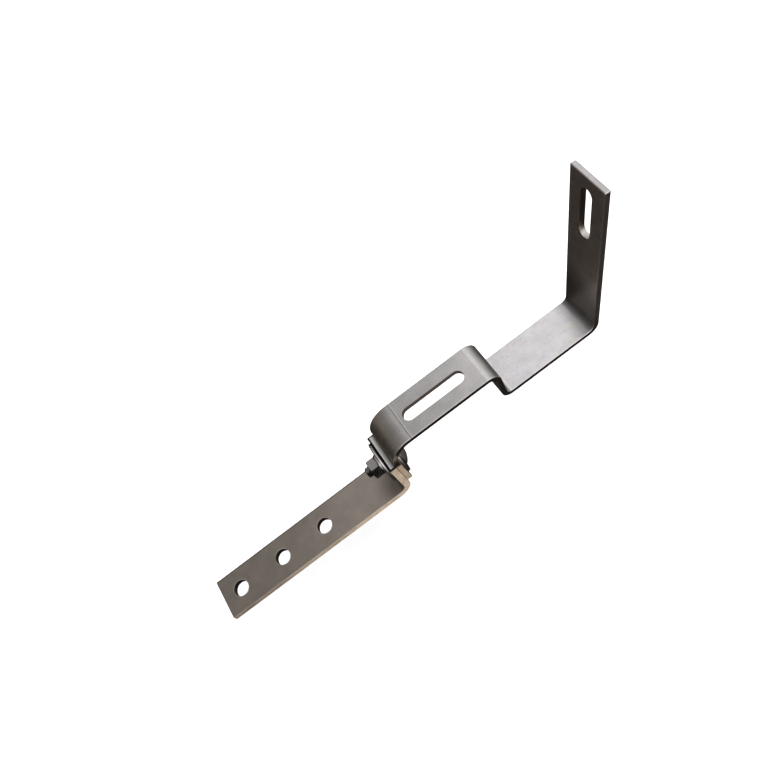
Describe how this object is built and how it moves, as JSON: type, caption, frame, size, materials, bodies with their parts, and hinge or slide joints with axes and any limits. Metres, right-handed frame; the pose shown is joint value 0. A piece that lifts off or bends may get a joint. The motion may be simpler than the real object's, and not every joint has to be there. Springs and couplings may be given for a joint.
{
  "type": "adjustable solar roof hook",
  "caption": "Two-piece roof hook for a solar rail: an L-shaped foot strap with screw holes and a bent, slotted hook strap, clamped together by a bolt.",
  "frame": {"origin": "underside of the foot strap, at the middle of its row of three screw holes", "axes": "+X along the straps from the foot towards the rail, +Y across the straps, +Z away from the roof"},
  "size_m": [0.3366, 0.03, 0.1516],
  "materials": {
    "strap_steel": "satin mill finish",
    "fastener_steel": "plain machined"
  },
  "bodies": {
    "foot": {"foot_strap": "strap_steel"},
    "hook": {"hook_strap": "strap_steel", "clamp_bolt": "fastener_steel", "flat_washers": "fastener_steel", "spring_washer": "fastener_steel", "clamp_nut": "fastener_steel"}
  },
  "joints": [
    {"name": "height_adjust", "type": "slide", "parent": "foot", "child": "hook", "axis": [0, 0, 1], "range_m": [-0.0025, 0.003]}
  ]
}
